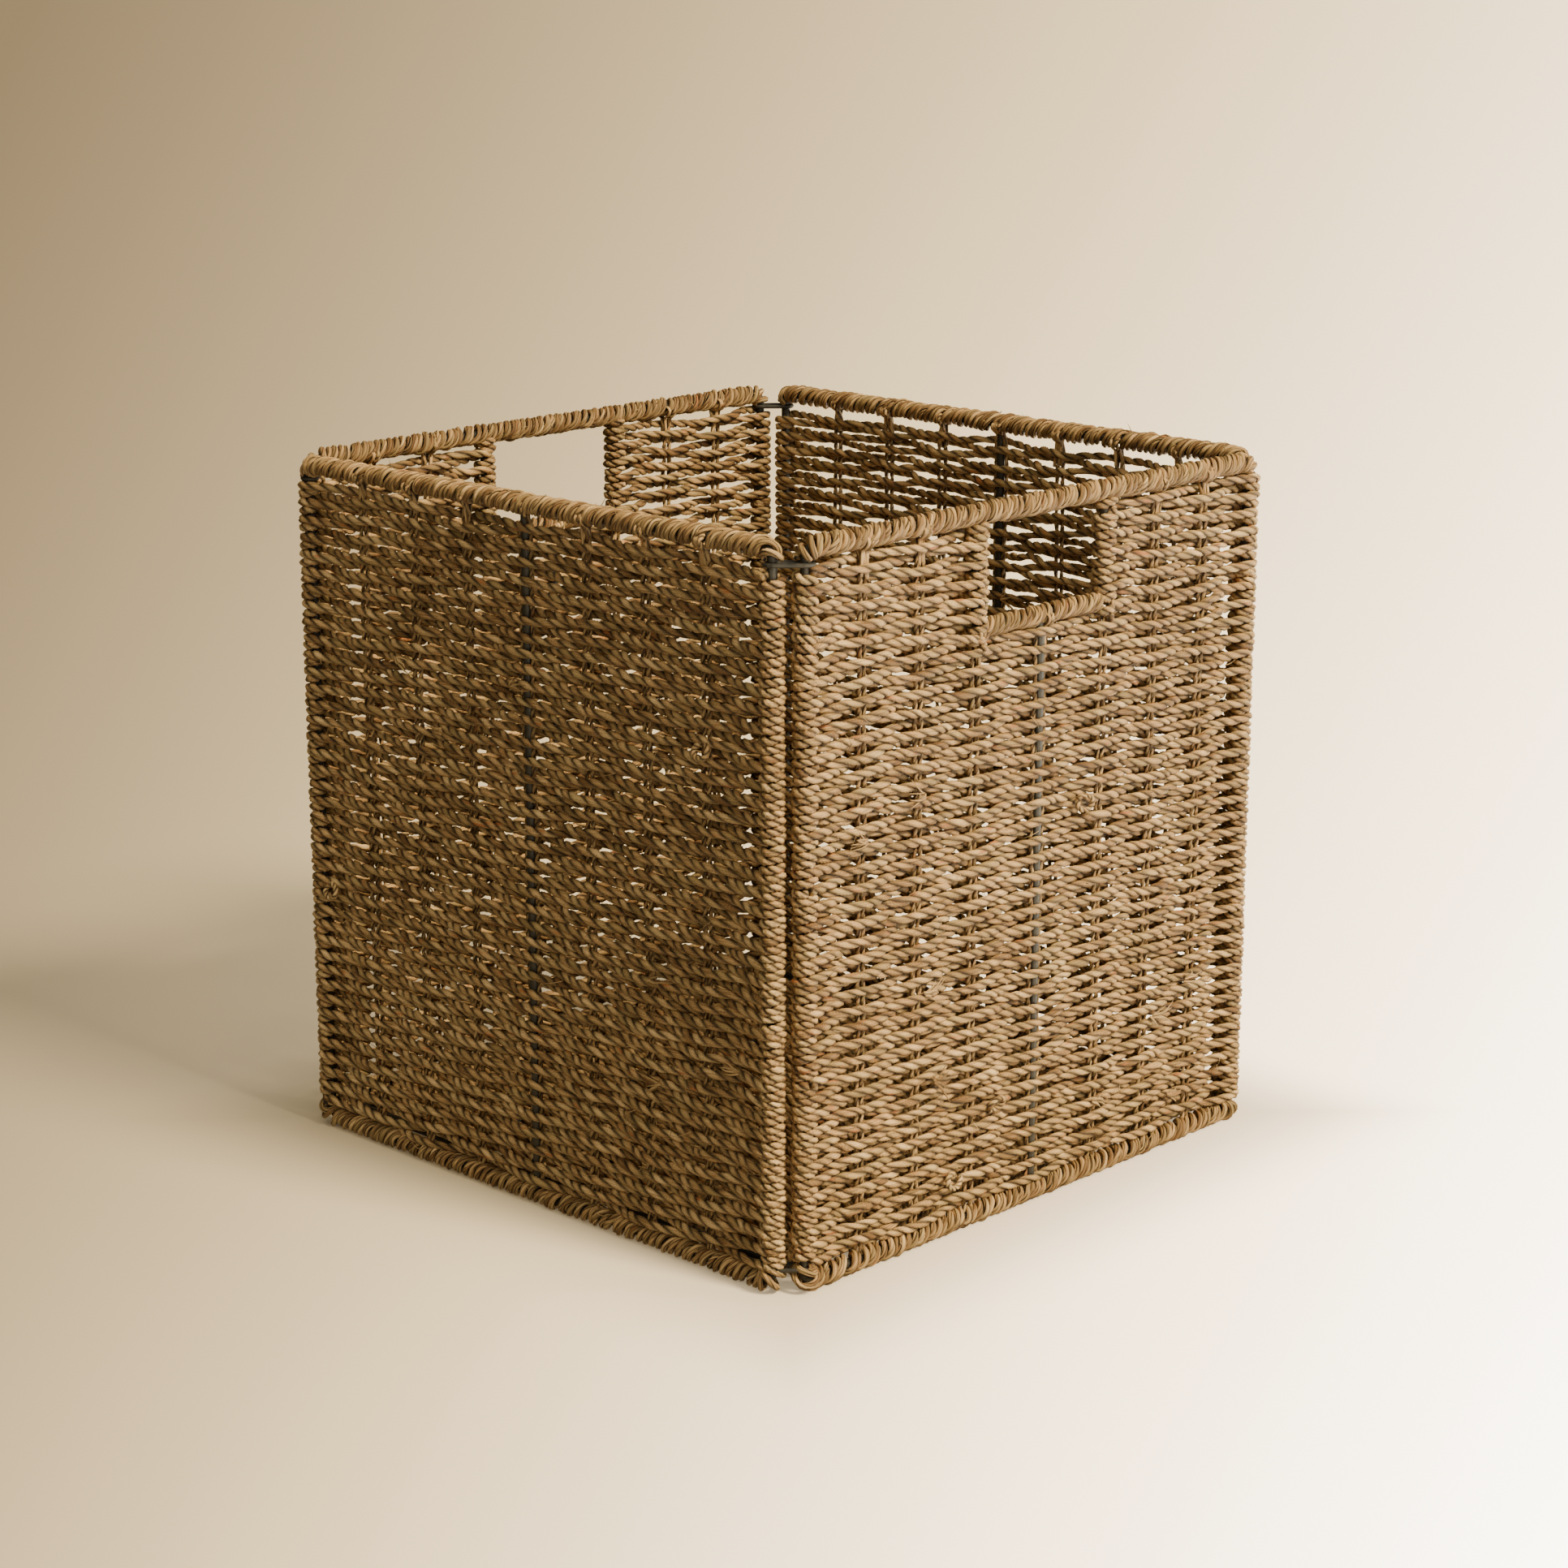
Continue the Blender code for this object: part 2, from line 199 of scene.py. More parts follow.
def side_vectors(path, up):
    """Two unit vectors square to the path at each point. up is one direction, or one for each point."""
    along = unit(np.gradient(path, axis=0))
    one = unit(np.cross(along, np.broadcast_to(up, path.shape)))
    return one, np.cross(one, along)


def arc_length(path):
    return np.concatenate(([0.0], np.cumsum(np.linalg.norm(np.diff(path, axis=0), axis=1))))


class Strands:
    """Collects swept strands into one mesh, with what the materials need to know of each."""

    def __init__(self):
        self.points, self.faces, self.uv_s, self.uv_t = [], [], [], []
        self.fibre, self.facing, self.tone = [], [], []
        self.count = 0
        self.length = 0.0
        self.girth = 0.0

    def add(self, path, one, two, half_one, half_two, sides, tone, rib=0.0, lay=0.0):
        """A closed elliptical strand along path: half_one along the vectors one, which face out of the rope
        that it is in, and half_two along two. lay turns its fibres and its three blunt ribs, and rib turns
        the ribs alone."""
        n = len(path)
        if np.dot(np.cross(one[0], two[0]), path[1] - path[0]) < 0:
            two = -two
        half_one, half_two, tone, rib, lay = (
            np.broadcast_to(value, n)[:, None] for value in (half_one, half_two, tone, rib, lay)
        )
        angle = 2 * np.pi * np.arange(sides) / sides
        turned = angle + lay
        swell = 1 + RIB_DEPTH * np.cos(3 * turned + rib)
        x, y = half_one * swell * np.cos(angle), half_two * swell * np.sin(angle)
        rings = path[:, None, :] + x[..., None] * one[:, None, :] + y[..., None] * two[:, None, :]
        rings[..., 2] = np.maximum(rings[..., 2], FLOOR_GAP)
        s = arc_length(path) + self.length
        along = np.repeat(s, sides)
        self.points.append(rings.reshape(-1, 3))
        self.fibre.append(np.stack([np.cos(turned).ravel(), np.sin(turned).ravel(), along], axis=1))
        self.facing.append(np.tile(np.cos(angle), n))
        self.tone.append(np.repeat(tone, sides))
        self.walls(n, sides, s)
        self.caps(n, sides, s[-1])
        self.count += n * sides
        self.length = s[-1] + STRAND_GAP
        self.girth = max(self.girth, float(np.pi * (half_one.mean() + half_two.mean())))

    def walls(self, n, sides, s):
        """The faces along a strand, with their places along and round it."""
        i = np.arange(n - 1)[:, None] * sides + self.count
        j = np.arange(sides)[None, :]
        k = (j + 1) % sides
        self.faces.append(np.stack([i + j, i + k, i + sides + k, i + sides + j], axis=-1).reshape(-1, 4))
        s0, s1 = s[:-1, None] + 0 * j, s[1:, None] + 0 * j
        self.uv_s.append(np.stack([s0, s0, s1, s1], axis=-1).reshape(-1, 4))
        t0, t1 = j / sides + 0 * s0, (j + 1) / sides + 0 * s0
        self.uv_t.append(np.stack([t0, t1, t1, t0], axis=-1).reshape(-1, 4))

    def caps(self, n, sides, end):
        """Closes both ends with triangles and quads, fanned from the first corner."""
        first = self.count + np.arange(sides)
        last = self.count + (n - 1) * sides + np.arange(sides)
        for ring, s in ((first[::-1], end - CAP_STRIP), (last, end)):
            for a in range(1, sides - 1, 2):
                b = min(a + 2, sides - 1)
                self.faces.append(np.array([[ring[0], ring[a], ring[a + 1], ring[b]]]))
                self.uv_s.append(np.full((1, 4), s))
                self.uv_t.append(np.array([[0.0, 0.1, 0.2, 0.3]]))

    def build(self, name, finish):
        """The mesh object."""
        points = np.concatenate(self.points).astype(np.float32)
        quads = np.concatenate(self.faces)
        keep = np.ones(quads.shape, bool)
        keep[quads[:, 2] == quads[:, 3], 3] = False
        size = keep.sum(1)
        starts = np.concatenate(([0], np.cumsum(size)[:-1]))
        mesh = bpy.data.meshes.new(name)
        mesh.vertices.add(len(points))
        mesh.vertices.foreach_set("co", points.ravel())
        mesh.loops.add(int(size.sum()))
        mesh.loops.foreach_set("vertex_index", quads[keep].astype(np.int32))
        mesh.polygons.add(len(quads))
        mesh.polygons.foreach_set("loop_start", starts.astype(np.int32))
        mesh.polygons.foreach_set("use_smooth", np.ones(len(quads), bool))
        mesh.update(calc_edges=True)
        self.describe(mesh)
        self.unwrap(mesh, keep)
        mesh.materials.append(finish)
        made = bpy.data.objects.new(name, mesh)
        bpy.context.collection.objects.link(made)
        return made

    def describe(self, mesh):
        """What the materials read: a point's place round and along its strand, its facing and its tone."""
        fibre = mesh.attributes.new("fibre", "FLOAT_VECTOR", "POINT")
        fibre.data.foreach_set("vector", np.concatenate(self.fibre).astype(np.float32).ravel())
        for name, values in (("facing", self.facing), ("tone", self.tone)):
            attribute = mesh.attributes.new(name, "FLOAT", "POINT")
            attribute.data.foreach_set("value", np.concatenate(values).astype(np.float32))

    def unwrap(self, mesh, keep):
        """A UV map that lays the strands in rows, so that no two faces share a place."""
        uv_s, uv_t = np.concatenate(self.uv_s), np.concatenate(self.uv_t)
        rows = max(1, round(math.sqrt(self.length / self.girth)))
        row_length = self.length / rows * 1.0001
        row = np.floor(uv_s[:, :1] / row_length)
        x = np.clip((uv_s - row * row_length) / row_length, 0, 1) * 0.99
        y = (row + 0.06 + 0.88 * uv_t) / (rows + 1)
        layer = mesh.uv_layers.new(name="OFBake")
        layer.uv.foreach_set("vector", np.stack([x[keep], y[keep]], axis=-1).astype(np.float32).ravel())


# Panels


class Panel:
    """A wall or the base in its own coordinates, measured from its iron frame."""

    def __init__(
        self, name, along, out, body, tone=0.5, rope_scale=1.0, warp_reach=WARP_REACH, row_waver=ROW_WAVER,
        rows=WALL_ROWS,
    ):
        self.name, self.body, self.tone = name, body, tone
        self.rope_scale, self.warp_reach, self.row_waver = rope_scale, warp_reach, row_waver
        self.first_row, self.row_sag, self.last_row = rows
        low, high = (np.array(corner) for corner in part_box(name + "_frame"))
        self.along = np.array(along, float)
        self.out = np.array(out, float)
        self.up = np.cross(self.out, self.along)
        self.rod = float(min(high - low)) / 2
        self.middle = (low + high) / 2
        reach = (high - low) / 2
        self.half_u = abs(float(self.along @ reach)) - self.rod
        self.half_v = abs(float(self.up @ reach)) - self.rod
        self.low_v, self.high_v = -self.half_v, self.half_v
        self.rng = np.random.default_rng(sum(ord(c) * (i + 7) for i, c in enumerate(name)))

    def world(self, local):
        u, v, w = local[:, 0:1], local[:, 1:2], local[:, 2:3]
        return self.middle + u * self.along + v * self.up + w * self.out

    def place(self, vectors):
        return vectors[:, 0:1] * self.along + vectors[:, 1:2] * self.up + vectors[:, 2:3] * self.out


def add_rope(strands, panel, path, up, tone, pitch=ROPE_PITCH, scale=1.0, sides=PLY_SIDES):
    """Two plies twisted round a middle line given in the panel's coordinates."""
    rng = panel.rng
    s = arc_length(path)
    one, two = side_vectors(path, up)
    bending = np.linalg.norm(np.gradient(unit(np.gradient(path, axis=0)), s, axis=0), axis=1)
    turning = 1 + EDGE_TWIST * (bending > TURN_CURVATURE)
    twist = np.concatenate(([0.0], np.cumsum(np.diff(s) * turning[1:])))
    phase = -2 * np.pi * twist / pitch + wavering(rng, s, *ROPE_WAVERS["phase"]) + rng.uniform(0, 6.28)
    for ply in (0.0, np.pi):
        angle = phase + ply
        size = 1 + wavering(rng, s, *ROPE_WAVERS["size"])
        radial = np.cos(angle)[:, None] * one + np.sin(angle)[:, None] * two
        tangent = -np.sin(angle)[:, None] * one + np.cos(angle)[:, None] * two
        centre = path + PLY_OFFSET * scale * radial
        tones = tone + rng.normal(0, 0.05) + wavering(rng, s, *ROPE_WAVERS["tone"])
        strands.add(
            panel.world(centre), panel.place(radial), panel.place(tangent),
            PLY_THICK * scale * size, PLY_WIDE * scale * size, sides, tones,
            wavering(rng, s, *ROPE_WAVERS["ribs"]), -FIBRE_LAY * angle,
        )


def rope_row(u_low, u_high, warps, reach_w, row, leftward):
    """u and w of the rope across one row, from one edge rod to the other."""
    stops = np.array([u_low, *warps, u_high])
    reach = np.array([EDGE_REACH, *[reach_w] * len(warps), EDGE_REACH])
    side = np.where((np.arange(len(stops)) + row) % 2 == 0, 1.0, -1.0)
    height = reach * side
    count = int((u_high - u_low) / ROPE_STEP)
    u = np.linspace(u_low, u_high, count)
    k = np.clip(np.searchsorted(stops, u, side="right") - 1, 0, len(stops) - 2)
    t = (u - stops[k]) / (stops[k + 1] - stops[k])
    w = (height[k] + height[k + 1]) / 2 + (height[k] - height[k + 1]) / 2 * np.cos(np.pi * t)
    if leftward:
        u, w = u[::-1], w[::-1]
    return u, w


def edge_turn(rng, rod_u, outward, side, level, pitch):
    """One and a half turns round a side rod, from a quarter of a pitch below one row's level to as much
    above the next one's. outward is the way out of the panel, and side the face that the rope comes from."""
    turn = np.linspace(0, 3 * np.pi, 24)[1:-1]
    radius = EDGE_REACH * (1 + wavering(rng, turn, *TURN_WAVERS["radius"]))
    climb = (turn / (2 * np.pi) - 0.25) * pitch
    v = level + climb + wavering(rng, turn, *TURN_WAVERS["height"])
    return np.stack([rod_u + outward * radius * np.sin(turn), v, side * radius * np.cos(turn)], axis=1)


def weft_path(panel, u_low, u_high, warps, levels, field, first_row=0):
    """The weft between two rods: its rows, and the turns that join them. A turn climbs more than a row
    pitch, so a row starts and ends a quarter of a pitch off its own level."""
    rng = panel.rng
    pieces = []
    span = u_high - u_low
    steps = np.append(np.diff(levels), levels[-1] - levels[-2])
    for i, (level, pitch) in enumerate(zip(levels, steps, strict=True)):
        leftward = i % 2 == 1
        u, w = rope_row(u_low, u_high, warps, panel.warp_reach, i + first_row, leftward)
        t = np.linspace(0, 1, len(u))
        ends = np.clip(1 - 5.0 * t, 0, 1) ** 2 - np.clip(5.0 * t - 4.0, 0, 1) ** 2
        fade = np.clip(np.minimum(u - u_low, u_high - u) / (ROW_FADE * span), 0, 1)
        lift = (field(u, np.full(len(u), level)) + wavering(rng, t * span, *panel.row_waver)) * fade
        sag = -panel.row_sag * fade * np.clip(1 - (level - panel.low_v - panel.first_row) / SAG_HEIGHT, 0, 1)
        w = w + wavering(rng, t * span, *ROW_DEPTH_WAVER)
        pieces.append(np.stack([u, level + pitch / 4 * ends + lift + sag, w], axis=1))
        if i < len(levels) - 1:
            rod_u, outward = (u_low, -1.0) if leftward else (u_high, 1.0)
            pieces.append(edge_turn(rng, rod_u, outward, np.sign(w[-1]), level, pitch))
    return pieces


def rod_turns(rod_u, v, turns, pitch):
    """A few plain turns round a rod, for where the weft starts or ends."""
    angle = np.linspace(0, 2 * np.pi * turns, int(18 * turns))
    return np.stack([
        rod_u + EDGE_REACH * np.sin(angle), v + pitch * angle / (2 * np.pi), EDGE_REACH * np.cos(angle),
    ], axis=1)


def bands_of(pieces, count):
    """Splits the weft's rows into count parts of about the same length, each one unbroken rope."""
    edges = np.linspace(0, len(pieces), count + 1).astype(int)
    return [np.concatenate(pieces[a:b]) for a, b in zip(edges[:-1], edges[1:], strict=True)]


def row_levels(low, high):
    """The rows' places from low to high, a little closer together at the bottom."""
    place = np.linspace(0, 1, round((high - low) / ROW_PITCH) + 1)
    return low + (high - low) * (place * (1 - ROW_SPREAD) + place**2 * ROW_SPREAD)


def ear_ropes(panel, leg_u, inner, levels, high, field):
    """The rope at each side of a hand slot, with plain turns round the rods where its rows start and end.
    Its rows go on over and under the warps as the full rows below do."""
    pitch = levels[-1] - levels[-2]
    ear = np.arange(levels[-1] + pitch, high + pitch / 2, pitch)
    beyond = [x for x in inner if x > leg_u + LEG_ROOM]
    passed = 2 * len(inner) + 1 - len(beyond)
    ropes = []
    for outer, leg, warps, first_row in (
        (-panel.half_u, -leg_u, [-x for x in reversed(beyond)], len(levels)),
        (panel.half_u, leg_u, beyond, len(levels) + passed),
    ):
        rows = weft_path(panel, min(outer, leg), max(outer, leg), warps, ear, field, first_row)
        ropes.append(np.concatenate(rows))
        ropes.append(rod_turns(outer, ear[0] - 1.6 * pitch, 2.0, pitch))
        ropes.append(rod_turns(leg, ear[-1] - 0.3 * pitch, 1.7, pitch))
        ropes.append(rod_turns(leg, ear[0] - 1.3 * pitch, 1.2, pitch))
    return ropes


def weave(panel, finish, handle, band_names=("lower", "middle", "upper")):
    """The weft of a panel, in bands, and the places of its warps. handle is (leg_u, bar_v) on a wall with a
    hand slot, and None on others."""
    field = Field(panel.rng, *FIELD_CELL, FIELD_RISE)
    inner = HANDLE_WARPS if handle else PLAIN_WARPS
    warps = [-x for x in reversed(inner)] + [0.0] + list(inner)
    high = panel.high_v - panel.last_row
    levels = row_levels(panel.low_v + panel.first_row, handle[1] - SLOT_ROW if handle else high)
    rows = weft_path(panel, -panel.half_u, panel.half_u, warps, levels, field)
    ropes = [[band] for band in bands_of(rows, len(band_names))]
    if handle:
        band_names = (*band_names, "ears")
        ropes.append(ear_ropes(panel, handle[0], inner, levels, high, field))
    made = []
    for name, paths in zip(band_names, ropes, strict=True):
        strands = Strands()
        for path in paths:
            add_rope(strands, panel, path, (0.0, 1.0, 0.0), panel.tone, scale=panel.rope_scale)
        made.append(strands.build(f"{panel.name}_weave_{name}", finish))
    return made, warps


def upright_path(rng, u, low, high):
    """A warp cord's middle line below its rail."""
    v = np.arange(low, high, WARP_STEP)
    return np.stack([
        u + wavering(rng, v, 18 * MM, 0.25 * MM), v, wavering(rng, v, 14 * MM, 0.25 * MM),
    ], axis=1)


def tie_end(u, rail_v, face):
    """Where a warp cord passes a wound rail on one face and is tucked into its winding."""
    angle = np.linspace(-0.42, 0.06, 12) * np.pi
    reach = TIE_REACH - 2.6 * MM * np.clip((angle / np.pi + 0.12) / 0.18, 0, 1) ** 2
    return np.stack([np.full(12, u), rail_v + reach * np.sin(angle), face * reach * np.cos(angle)], axis=1)


def add_tie_fibre(strands, panel, u, rail_v):
    """One flat fibre from the first rows up over the face of the rail."""
    rng = panel.rng
    face = rng.choice((-1.0, 1.0))
    foot = rng.uniform(-2.6, 2.6) * MM
    end = tie_end(u + rng.uniform(-1.8, 1.8) * MM, rail_v, face)
    t = np.linspace(0, 1, 8)[:-1, None]
    start = np.array([[u + foot, rail_v - rng.uniform(12, 17) * MM, face * rng.uniform(0, 1.5) * MM]])
    path = np.concatenate([start * (1 - t) + end[:1] * t, end])
    out, across = side_vectors(path, (-face, 0.0, 0.0))
    tone = 0.5 + rng.normal(0, 0.09)
    strands.add(
        panel.world(path), panel.place(out), panel.place(across),
        TIE_THICK * 0.6, TIE_THICK, 6, tone, foot / MM,
    )


def warp_cords(panel, finish, warps, top_of):
    """Pairs of thin twisted cords at each warp, or one at each side of the stake, with a few flat fibres
    that tie them to the rail. top_of gives the rail where a pair ends, by its u."""
    strands = Strands()
    for u in warps:
        top = top_of(u)
        for _ in range(TIE_FIBRES):
            add_tie_fibre(strands, panel, u, top)
        offset = WARP_PAIR / 2 if abs(u) > 1 * MM else panel.rod + 1.1 * MM
        for side in (-1, 1):
            path = upright_path(panel.rng, u + side * offset, panel.low_v, top - 9 * MM)
            path = np.concatenate([path, tie_end(u + side * offset * 0.8, top, side)])
            add_rope(strands, panel, path, (0.0, 0.0, 1.0), 0.38, **WARP_CORD)
    return strands.build(f"{panel.name}_warp_cords", finish)


def bend_path(panel, v, outward, turn, rise=0.0):
    """A rail's middle line, which follows its bends as far as turn and then the side rods as far as rise.
    outward is 1 for a top rail and -1 for a bottom one."""
    bend = FRAME_BEND
    straight = panel.half_u - bend
    u_line = np.arange(-straight, straight, CORE_STEP)
    a = np.arange(CORE_STEP / bend, turn, CORE_STEP / bend)
    left_u = -straight - bend * np.sin(a[::-1])
    left_v = v - outward * bend * (1 - np.cos(a[::-1]))
    right_u, right_v = straight + bend * np.sin(a), v - outward * bend * (1 - np.cos(a))
    climb = -outward * np.arange(CORE_STEP, rise, CORE_STEP)
    left_u = np.concatenate([np.full(len(climb), left_u[0]), left_u])
    left_v = np.concatenate([left_v[0] + climb[::-1], left_v])
    right_u = np.concatenate([right_u, np.full(len(climb), right_u[-1])])
    right_v = np.concatenate([right_v, right_v[-1] + climb])
    u = np.concatenate([left_u, u_line, right_u])
    vs = np.concatenate([left_v, np.full(len(u_line), v), right_v])
    return np.stack([u, vs, np.zeros(len(u))], axis=1)


def add_winding(strands, panel, core, reach, lead, scale=1.0, swell=0.0):
    """Bundles of leaf fibres wound side by side round a core line. A bundle's middle line lies at reach from
    the core, and further by swell, which is one value or one for each point of the core."""
    rng = panel.rng
    s_core = arc_length(core)
    total = s_core[-1]
    count = int(total / lead * math.hypot(2 * np.pi * reach, lead) / WIND_STEP)
    s = np.linspace(0, total, count)
    centre = np.stack([np.interp(s, s_core, core[:, i]) for i in range(3)], axis=1)
    extra = np.interp(s, s_core, np.broadcast_to(swell, len(core)))
    along = unit(np.gradient(centre, axis=0))
    out = np.broadcast_to(np.array([0.0, 0.0, 1.0]), centre.shape)
    side = np.cross(out, along)
    for start in range(WIND_STARTS):
        angle = 2 * np.pi * (s / lead + start / WIND_STARTS) + wavering(rng, s, *WIND_WAVERS["angle"])
        radial = np.cos(angle)[:, None] * out + np.sin(angle)[:, None] * side
        middle = centre + (reach + extra + wavering(rng, s, *WIND_WAVERS["reach"]))[:, None] * radial
        middle = middle + wavering(rng, s, *WIND_WAVERS["shift"])[:, None] * along
        add_bundle(strands, panel, middle, along, scale)


def add_bundle(strands, panel, middle, along, scale):
    """The leaf fibres of one winding, twisted about its middle line. along is the way of its core."""
    rng = panel.rng
    one, two = side_vectors(middle, along)
    way = arc_length(middle)
    twist = -2 * np.pi * way / WIND_TWIST + wavering(rng, way, *WIND_WAVERS["twist"])
    for fibre in range(WIND_FIBRES):
        phase = twist + 2 * np.pi * fibre / WIND_FIBRES
        facing = np.cos(phase)[:, None] * one + np.sin(phase)[:, None] * two
        across = -np.sin(phase)[:, None] * one + np.cos(phase)[:, None] * two
        off = scale * (0.74 * MM + wavering(rng, way, *WIND_WAVERS["spread"]))
        size = scale * (1 + wavering(rng, way, *WIND_WAVERS["size"]))
        tones = panel.tone - 0.13 + rng.normal(0, 0.09) + wavering(rng, way, *WIND_WAVERS["tone"])
        strands.add(
            panel.world(middle + off[:, None] * facing), panel.place(facing), panel.place(across),
            0.56 * MM * size, 0.80 * MM * size, 7, tones, wavering(rng, way, *WIND_WAVERS["ribs"]),
        )


def rail_winding(panel, finish, which):
    """The winding of a rail, with a few hairs. The bottom one covers the bends too and is thicker there."""
    strands = Strands()
    reach = panel.rod + RAIL_REACH
    if which == "top":
        core = bend_path(panel, panel.high_v, 1.0, TOP_TURN)
        add_winding(strands, panel, core, reach, WIND_LEAD)
    else:
        core = bend_path(panel, panel.low_v, -1.0, math.pi / 2, BOTTOM_RISE)
        along = arc_length(core)
        knob = np.clip(1 - np.minimum(along, along[-1] - along) / KNOB_LENGTH, 0, 1)
        add_winding(strands, panel, core, reach, BOTTOM_LEAD, swell=KNOB * np.sin(np.pi * knob))
    for _ in range(RAIL_HAIRS):
        add_rail_hair(strands, panel, core[len(core) // 2, 1])
    return strands.build(f"{panel.name}_{which}_winding", finish)


def add_rail_hair(strands, panel, rail_v):
    rng = panel.rng
    u = rng.uniform(-1, 1) * (panel.half_u - 6 * MM)
    face = rng.choice((-1.0, 1.0))
    root = np.array([u, rail_v + rng.uniform(0, 3.4) * MM, face * 3.6 * MM])
    heading = rng.normal(0, 2.4 * MM, 2) + np.array([0.0, 1.0 * MM])
    thick = rng.uniform(0.12, 0.34) * MM
    add_fibre(strands, panel, root, heading, rng.uniform(0.5, 2.2) * MM, thick, 0.6 + rng.normal(0, 0.1))


def handle_winding(panel, finish, leg_u, bar_v):
    strands = Strands()
    u = np.arange(-leg_u + 3.5 * MM, leg_u - 3.5 * MM, CORE_STEP)
    core = np.stack([u, np.full(len(u), bar_v), np.zeros(len(u))], axis=1)
    add_winding(strands, panel, core, panel.rod + HANDLE_REACH, HANDLE_LEAD, scale=0.92)
    return strands.build(f"{panel.name}_handle_winding", finish)


def add_fibre(strands, panel, root, heading, rise, thick, tone):
    """A short flat fibre from root, in the panel's coordinates, along its face and a little off it."""
    rng = panel.rng
    length = np.linalg.norm(heading)
    curl = rng.normal(0, 0.28, 2) * length
    t = np.linspace(0, 1, 7)[:, None]
    path = np.hstack([
        root[0] + heading[0] * t + curl[0] * t * t,
        root[1] + heading[1] * t + curl[1] * t * t,
        root[2] + np.sign(root[2]) * rise * np.sin(t * rng.uniform(1.4, 3.0)),
    ])
    across, out = side_vectors(path, (0.0, 0.0, np.sign(root[2])))
    taper = thick * (1.08 - 0.9 * t[:, 0] ** 2)
    strands.add(panel.world(path), panel.place(out), panel.place(across), taper * 0.45, taper, 5, tone)


def spot(panel, half_v):
    """A random place on either face of a panel's weave."""
    rng = panel.rng
    face = 1.0 if rng.random() < 0.6 else -1.0
    return np.array([
        rng.uniform(-0.94, 0.94) * panel.half_u, rng.uniform(-half_v, half_v * 0.6), face * FACE_W,
    ])


def add_hair(strands, panel, half_v):
    rng = panel.rng
    heading = rng.normal(0, 4.0 * MM, 2)
    thick = rng.uniform(0.10, 0.24) * MM
    root = spot(panel, half_v)
    add_fibre(strands, panel, root, heading, rng.uniform(0.6, 2.4) * MM, thick, 0.6 + rng.normal(0, 0.1))


def add_tuft(strands, panel, root):
    """A frayed end, where one length of rope follows another."""
    rng = panel.rng
    way = rng.uniform(-0.5, 0.5) + rng.choice((0.0, np.pi))
    reddish = rng.normal(0, 0.12)
    for _ in range(TUFT_FIBRES):
        angle = way + rng.normal(0, 0.4)
        heading = rng.uniform(4, 10) * MM * np.array([np.cos(angle), np.sin(angle)])
        thick = rng.uniform(0.35, 0.8) * MM
        start = root + np.append(rng.normal(0, 0.7 * MM, 2), 0.0)
        add_fibre(strands, panel, start, heading, rng.uniform(0.4, 2.0) * MM, thick, 0.52 + reddish)


def add_curl(strands, panel, root):
    """A rope's end that lies curled on the face."""
    rng = panel.rng
    angle = np.linspace(0, rng.uniform(1.6, 2.3) * np.pi, CURL_POINTS) + rng.uniform(0, 6.28)
    radius = np.linspace(2.4, 3.6, CURL_POINTS) * MM
    depth = root[2] + np.sign(root[2]) * np.sin(np.linspace(-0.9, np.pi, CURL_POINTS)) * 1.6 * MM
    u, v = root[0] + 1.35 * radius * np.cos(angle), root[1] + radius * np.sin(angle)
    add_rope(strands, panel, np.stack([u, v, depth], axis=1), (0.0, 0.0, 1.0), 0.55, **CURL_CORD)


def loose_fibres(panel, finish, half_v):
    strands = Strands()
    for _ in range(HAIRS):
        add_hair(strands, panel, half_v)
    for _ in range(TUFTS):
        add_tuft(strands, panel, spot(panel, half_v))
    for _ in range(CURLS):
        add_curl(strands, panel, spot(panel, half_v))
    return strands.build(f"{panel.name}_loose_fibres", finish)


# Materials


def new_material(name):
    """A material with only a principled shader, and its nodes, its links and that shader."""
    made = bpy.data.materials.new(name)
    made.use_nodes = True
    nodes, links = made.node_tree.nodes, made.node_tree.links
    nodes.clear()
    shader = nodes.new("ShaderNodeBsdfPrincipled")
    links.new(shader.outputs[0], nodes.new("ShaderNodeOutputMaterial").inputs[0])
    return made, nodes, links, shader


def grey(level):
    return (level, level, level)


def feed(links, value, socket):
    """Links another node's output to a socket, or sets the socket to a plain value."""
    if isinstance(value, bpy.types.NodeSocket):
        links.new(value, socket)
    else:
        socket.default_value = value


def attribute(nodes, name, output):
    made = nodes.new("ShaderNodeAttribute")
    made.attribute_name = name
    return made.outputs[output]


def ramp(nodes, links, value, stops):
    made = nodes.new("ShaderNodeValToRGB")
    elements = made.color_ramp.elements
    while len(elements) < len(stops):
        elements.new(0.5)
    for element, (place, colour) in zip(elements, stops, strict=True):
        element.position = place
        element.color = (*colour, 1.0)
    links.new(value, made.inputs[0])
    return made.outputs[0]


def map_range(nodes, links, value, *ends, smooth=False):
    """value taken from between the first two ends to between the last two, and held there outside them."""
    made = nodes.new("ShaderNodeMapRange")
    if smooth:
        made.interpolation_type = "SMOOTHSTEP"
    for name, end in zip(("From Min", "From Max", "To Min", "To Max"), ends, strict=True):
        made.inputs[name].default_value = end
    links.new(value, made.inputs["Value"])
    return made.outputs[0]


def math_node(nodes, links, operation, *values):
    made = nodes.new("ShaderNodeMath")
    made.operation = operation
    for value, socket in zip(values, made.inputs):
        feed(links, value, socket)
    return made.outputs[0]


